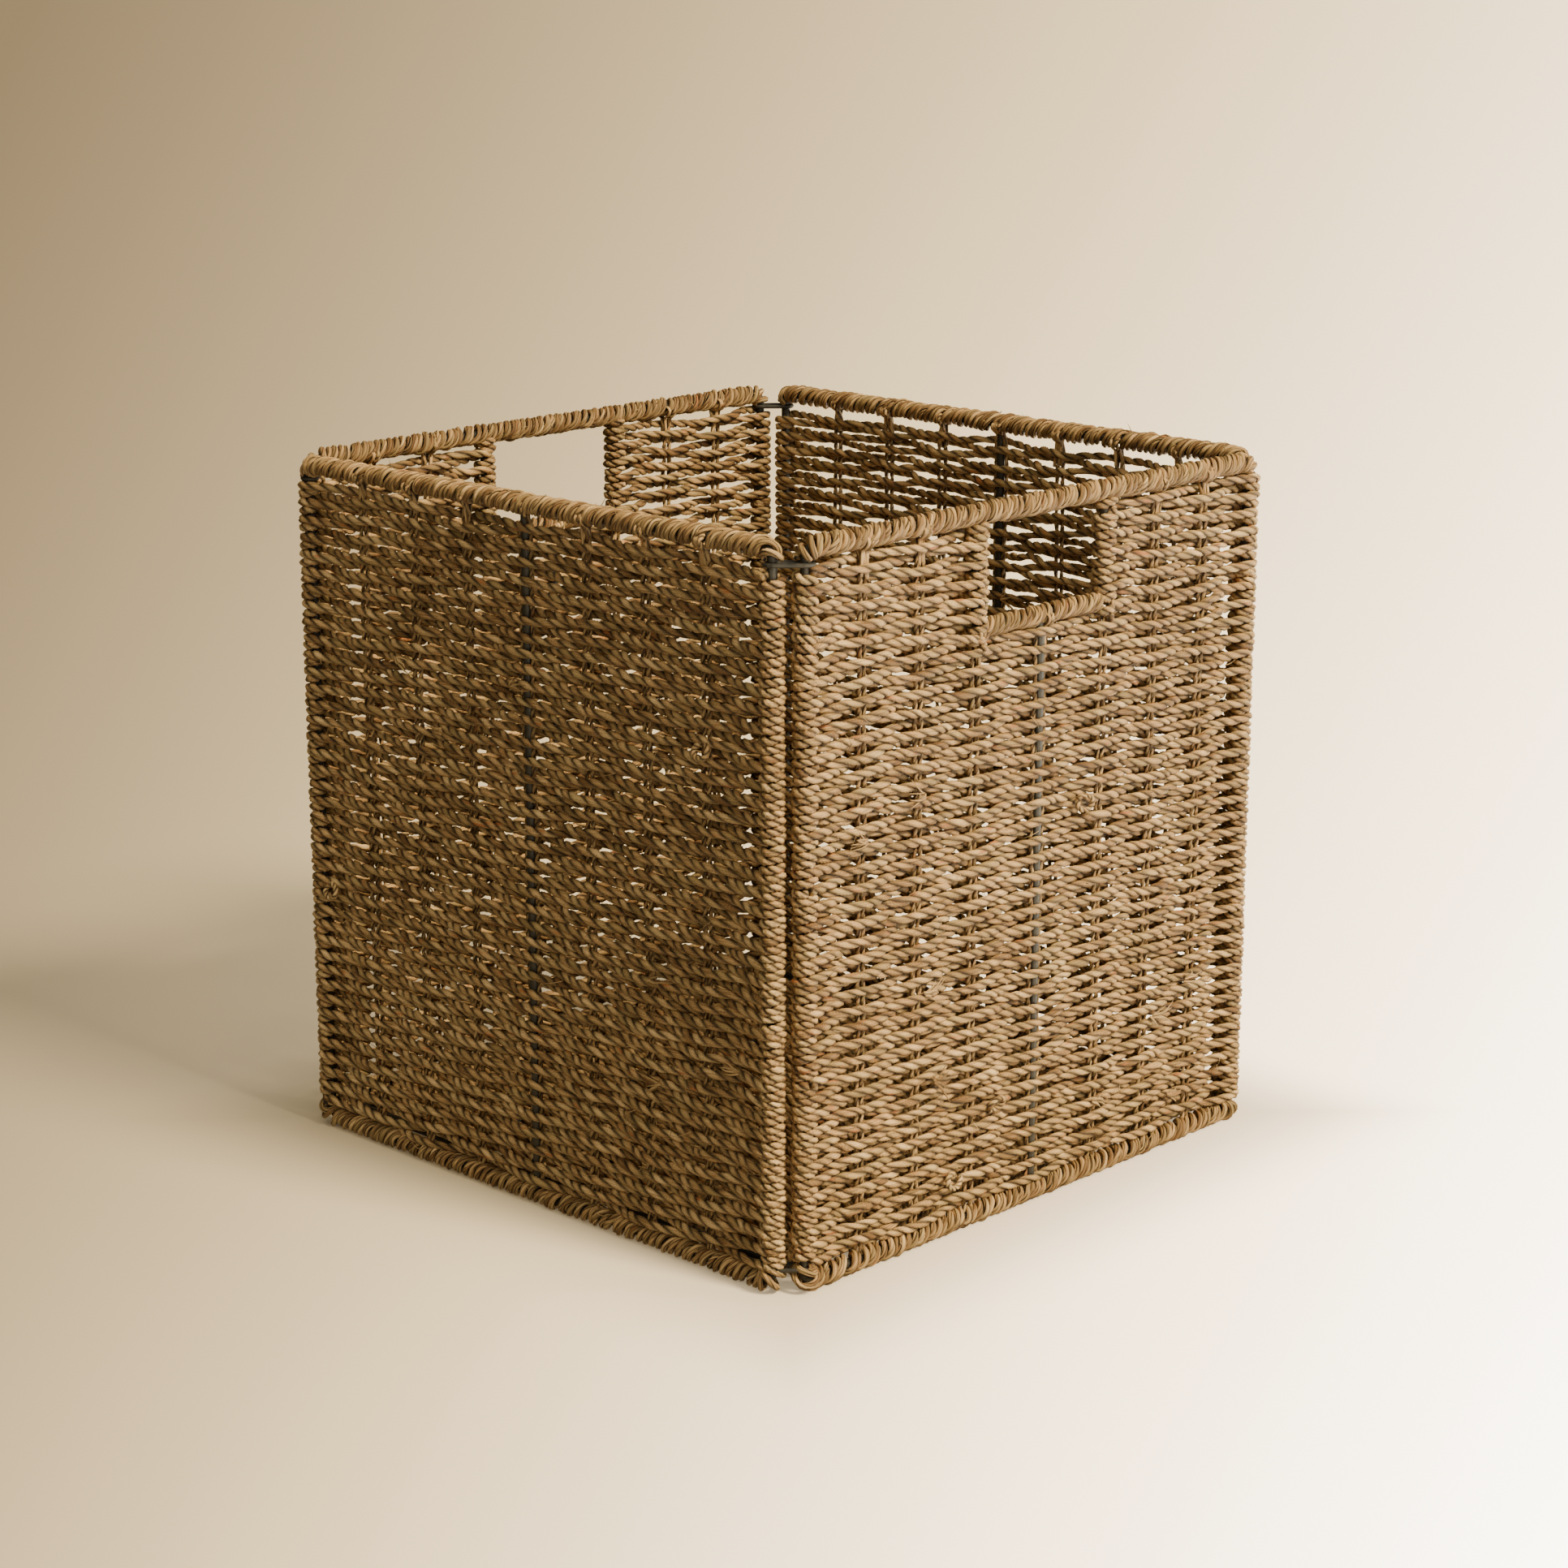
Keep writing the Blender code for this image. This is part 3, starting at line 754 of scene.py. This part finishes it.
def vector_node(nodes, links, operation, vector, *second):
    """One or two vectors, or for SCALE a vector and a number. DOT_PRODUCT gives a number."""
    made = nodes.new("ShaderNodeVectorMath")
    made.operation = operation
    links.new(vector, made.inputs[0])
    for value in second:
        feed(links, value, made.inputs["Scale" if operation == "SCALE" else 1])
    return made.outputs["Value" if operation == "DOT_PRODUCT" else "Vector"]


def stretched_noise(nodes, links, strand, stretch, detail):
    """Noise in a strand's own coordinates: round it in x and y, and metres along it in z."""
    noise = nodes.new("ShaderNodeTexNoise")
    noise.inputs["Scale"].default_value = 1.0
    noise.inputs["Detail"].default_value = detail
    links.new(vector_node(nodes, links, "MULTIPLY", strand, stretch), noise.inputs["Vector"])
    return noise.outputs[0]


def mixed(nodes, links, factor, one, two):
    """Two colours mixed. The second is plain."""
    made = nodes.new("ShaderNodeMix")
    made.data_type = "RGBA"
    links.new(factor, made.inputs["Factor"])
    links.new(one, made.inputs["A"])
    made.inputs["B"].default_value = (*two, 1.0)
    return made.outputs["Result"]


def add_bump(nodes, links, shader, height, strength, distance):
    made = nodes.new("ShaderNodeBump")
    made.inputs["Strength"].default_value = strength
    made.inputs["Distance"].default_value = distance
    links.new(height, made.inputs["Height"])
    links.new(made.outputs[0], shader.inputs["Normal"])
    return made


def seagrass_colour(nodes, links, strand, streak, dark, middle, light, olive, red):
    """From dark to light by the strand's tone and its fibres, with olive stretches and reddish spots."""
    blotch = stretched_noise(nodes, links, strand, (0.4, 0.4, 60.0), 2.0)
    hue = stretched_noise(nodes, links, strand, (0.2, 0.2, 23.0), 1.0)
    spots = stretched_noise(nodes, links, strand, (0.6, 0.6, 75.0), 1.0)
    level = math_node(nodes, links, "MULTIPLY_ADD", streak, 0.75, attribute(nodes, "tone", "Fac"))
    level = math_node(nodes, links, "MULTIPLY_ADD", blotch, 0.55, level)
    level = math_node(nodes, links, "SUBTRACT", level, 0.65)
    colour = ramp(nodes, links, level, [(0.16, dark), (0.48, middle), (0.86, light)])
    olives = ramp(nodes, links, hue, [(0.45, grey(0.0)), (0.68, grey(0.55))])
    reds = ramp(nodes, links, spots, [(0.69, grey(0.0)), (0.78, grey(0.8))])
    return mixed(nodes, links, reds, mixed(nodes, links, olives, colour, olive), red)


def seagrass(name, painted_crease_shade):
    """Dried seagrass with a dry sheen. It is darker between its fibres. Where a strand faces into its rope
    or bundle it has painted shade, down to the crease factor given, and where it faces out it has a painted
    highlight."""
    made, nodes, links, shader = new_material(name)
    strand = attribute(nodes, "fibre", "Vector")
    streak = stretched_noise(nodes, links, strand, (4.2, 4.2, 95.0), 4.0)
    facing = attribute(nodes, "facing", "Fac")
    # painted shade on the sides of strands that face into their rope, and a painted highlight on those that
    # face out
    painted_shade_and_highlight = map_range(nodes, links, facing, -0.8, 1.0, painted_crease_shade, 1.29, smooth=True)
    lines = map_range(nodes, links, streak, 0.34, 0.50, 0.60, 1.0)
    shade = math_node(nodes, links, "MULTIPLY", painted_shade_and_highlight, lines)
    colour = seagrass_colour(nodes, links, strand, streak, **GRASS)
    links.new(vector_node(nodes, links, "SCALE", colour, shade), shader.inputs["Base Color"])
    rough = ramp(nodes, links, streak, [(0.3, grey(0.72)), (0.7, grey(0.46))])
    links.new(rough, shader.inputs["Roughness"])
    add_bump(nodes, links, shader, streak, 0.8, 0.5 * MM)
    shader.inputs["Specular IOR Level"].default_value = 0.22
    shader.inputs["Sheen Weight"].default_value = 0.04
    shader.inputs["Sheen Roughness"].default_value = 0.4
    shader.inputs["Sheen Tint"].default_value = (1.0, 0.86, 0.62, 1.0)
    return made


def painted_iron(name, colour, worn):
    """Dark satin paint on rod, brushed thin in places."""
    made, nodes, links, shader = new_material(name)
    noise = nodes.new("ShaderNodeTexNoise")
    noise.inputs["Scale"].default_value = 240.0
    noise.inputs["Detail"].default_value = 5.0
    links.new(nodes.new("ShaderNodeTexCoord").outputs["Object"], noise.inputs["Vector"])
    paint = noise.outputs[0]
    links.new(ramp(nodes, links, paint, [(0.35, colour), (0.72, worn)]), shader.inputs["Base Color"])
    rough = ramp(nodes, links, paint, [(0.3, grey(0.42)), (0.7, grey(0.62))])
    links.new(rough, shader.inputs["Roughness"])
    rounded = nodes.new("ShaderNodeBevel")
    rounded.inputs["Radius"].default_value = 0.9 * MM
    bump = add_bump(nodes, links, shader, paint, 0.25, 0.2 * MM)
    links.new(rounded.outputs[0], bump.inputs["Normal"])
    shader.inputs["Metallic"].default_value = 0.1
    shader.inputs["Specular IOR Level"].default_value = 0.25
    return made


def painted_contact_shadow(nodes, links, position):
    """A painted contact shadow: how much of its own glow the floor has near the basket, little at its foot
    and all of it further out.
    """
    parts = nodes.new("ShaderNodeSeparateXYZ")
    links.new(position, parts.inputs[0])
    across = [math_node(nodes, links, "ABSOLUTE", parts.outputs[axis]) for axis in (0, 1)]
    away = math_node(nodes, links, "MAXIMUM", *across)
    return map_range(nodes, links, away, 0.148, 0.235, 0.2, 1.0, smooth=True)


def painted_floor_light(nodes, links, painted_falloff, position):
    """The floor's albedo and glow, which paint a fall-off of light over it. The albedo carries the painted
    fall-off until paper can't be paler, and the glow, which is painted light, carries the rest."""
    stops = math_node(nodes, links, "ADD", painted_falloff, -0.25)
    stops = math_node(nodes, links, "MINIMUM", math_node(nodes, links, "MAXIMUM", stops, -1.6), 3.2)
    power = math_node(nodes, links, "POWER", 2.0, stops)
    wanted = math_node(nodes, links, "MULTIPLY", power, 0.54)
    albedo = math_node(nodes, links, "MINIMUM", wanted, 0.86)
    beyond = math_node(nodes, links, "MULTIPLY", math_node(nodes, links, "SUBTRACT", wanted, albedo), 1.7)
    painted_glow = math_node(nodes, links, "MULTIPLY_ADD", power, 0.22, beyond)
    return albedo, math_node(nodes, links, "MULTIPLY", painted_glow, painted_contact_shadow(nodes, links, position))


def floor_material():
    """Pale warm paper with painted light: its colour and its glow are painted brighter near the viewpoint
    and to its right, with painted shadow at the basket's foot.
    """
    made, nodes, links, shader = new_material("pale_floor")
    position = nodes.new("ShaderNodeNewGeometry").outputs["Position"]
    heading = vector_node(nodes, links, "SUBTRACT", position, VIEWPOINT)
    direction = vector_node(nodes, links, "NORMALIZE", heading)
    painted_falloff = vector_node(nodes, links, "DOT_PRODUCT", direction, PAINTED_FLOOR_FALLOFF)
    painted_light_tint = ramp(nodes, links, math_node(nodes, links, "MULTIPLY_ADD", painted_falloff, 0.21, 0.28), PAINTED_FLOOR_TINTS)
    albedo, painted_glow = painted_floor_light(nodes, links, painted_falloff, position)
    for level, socket in ((albedo, "Base Color"), (painted_glow, "Emission Color")):
        links.new(vector_node(nodes, links, "SCALE", painted_light_tint, level), shader.inputs[socket])
    shader.inputs["Emission Strength"].default_value = 1.0
    shader.inputs["Roughness"].default_value = 0.9
    shader.inputs["Specular IOR Level"].default_value = 0.0
    return made


# Stage


def camera():
    """Looks at the corner of the front and right walls from a little above."""
    data = bpy.data.cameras.new("camera")
    data.lens, data.sensor_width = LENS, 36.0
    data.clip_end = 100.0
    made = bpy.data.objects.new("camera", data)
    made.location = VIEWPOINT
    made.rotation_euler = (-TOWARDS).to_track_quat("-Z", "Y").to_euler()
    bpy.context.collection.objects.link(made)
    bpy.context.scene.camera = made


def sky():
    """Soft light from all round, most of it from above and from the right, little from below."""
    world = bpy.data.worlds.new("studio")
    world.use_nodes = True
    nodes, links = world.node_tree.nodes, world.node_tree.links
    background = nodes["Background"]
    way = nodes.new("ShaderNodeTexCoord").outputs["Generated"]
    lean = vector_node(nodes, links, "DOT_PRODUCT", way, SKY_LEAN)
    level = math_node(nodes, links, "MULTIPLY_ADD", lean, 0.5, 0.5)
    stops = [(0.0, (0.02, 0.017, 0.012)), (0.45, (0.10, 0.09, 0.072)), (1.0, (1.0, 0.96, 0.88))]
    links.new(ramp(nodes, links, level, stops), background.inputs["Color"])
    background.inputs["Strength"].default_value = 1.25
    bpy.context.scene.world = world


def key_light():
    """The large soft key, far off to the right and a little behind."""
    data = bpy.data.lights.new("key", "SUN")
    data.energy = 5.7
    data.angle = math.radians(15)
    data.color = (1.0, 0.89, 0.73)
    made = bpy.data.objects.new("key", data)
    made.rotation_euler = Vector(KEY_FROM).to_track_quat("Z", "Y").to_euler()
    bpy.context.collection.objects.link(made)


def stage():
    mesh = bpy.data.meshes.new("floor")
    reach = 60.0
    corners = [(-reach, -reach, 0), (reach, -reach, 0), (reach, reach, 0), (-reach, reach, 0)]
    mesh.from_pydata(corners, [], [(0, 1, 2, 3)])
    mesh.materials.append(floor_material())
    floor = bpy.data.objects.new("floor", mesh)
    floor.visible_diffuse = False
    bpy.context.collection.objects.link(floor)
    key_light()
    sky()


# Assembly


def settle(piece, panel, slot_name, *nodes):
    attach(piece, panel.body)
    if nodes:
        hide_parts(*nodes)


def hand_slot(panel):
    """(leg_u, bar_v) of a wall's hand slot, or None."""
    bar = panel.name + "_handle_bar"
    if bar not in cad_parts:
        return None
    low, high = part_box(bar)
    leg_u = abs(float(panel.along @ np.array(high - low))) / 2 - panel.rod
    return leg_u, low.z + panel.rod - float(panel.middle[2])


def dress_wall(panel, rope, winding):
    name, handle = panel.name, hand_slot(panel)
    bands, warps = weave(panel, rope, handle)
    for band in bands:
        settle(band, panel, "seagrass_weave", name + "_weave")

    def top_of(u):
        under_slot = handle and abs(u) < handle[0] + 5 * MM
        return handle[1] if under_slot else panel.high_v

    settle(warp_cords(panel, rope, warps, top_of), panel, "seagrass_weave")
    for which in ("top", "bottom"):
        settle(rail_winding(panel, winding, which), panel, "seagrass_winding", f"{name}_{which}_wrap")
    if handle:
        piece = handle_winding(panel, winding, *handle)
        settle(piece, panel, "seagrass_winding", name + "_handle_wrap")
    settle(loose_fibres(panel, rope, panel.half_v - 14 * MM), panel, "seagrass_weave")


def dress_base(panel, rope):
    bands, warps = weave(panel, rope, None, ("front", "middle", "back"))
    for band in bands:
        settle(band, panel, "seagrass_weave", "base_weave")
    settle(warp_cords(panel, rope, warps, lambda u: panel.high_v), panel, "seagrass_weave")


def finish_frame(winding):
    """The rods, stakes, bars and loops are painted iron, and the ties are seagrass."""
    iron = painted_iron("painted_iron", (0.022, 0.019, 0.011), (0.050, 0.042, 0.025))
    for node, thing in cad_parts.items():
        if node.endswith(("_frame", "_bar", "_loop")) or "_stake" in node:
            thing.data.materials.clear()
            thing.data.materials.append(iron)
        elif "_tie_" in node:
            thing.data.materials.clear()
            thing.data.materials.append(winding)


def main():
    camera()
    stage()
    # The second value is how dark the painted shade in the creases goes; the windings' goes to black.
    rope = seagrass("seagrass_rope", 0.20)
    winding = seagrass("seagrass_winding", 0.0)
    finish_frame(winding)
    # The back and left walls have lower tones than the front and right ones: painted shade, for the shade on
    # their inner faces inside the basket.
    for panel in (
        Panel("front", (1, 0, 0), (0, -1, 0), "front_wall", 0.49),
        Panel("right", (0, 1, 0), (1, 0, 0), "right_wall", 0.46),
        Panel("back", (-1, 0, 0), (0, 1, 0), "back_wall", 0.37, 0.95, LOOSE_REACH, LOOSE_WAVER),
        Panel("left", (0, -1, 0), (-1, 0, 0), "left_wall", 0.30, 0.96, LOOSE_REACH, LOOSE_WAVER),
    ):
        dress_wall(panel, rope, winding)
    dress_base(Panel("base", (1, 0, 0), (0, 0, 1), "base", rope_scale=0.95, rows=BASE_ROWS), rope)


main()
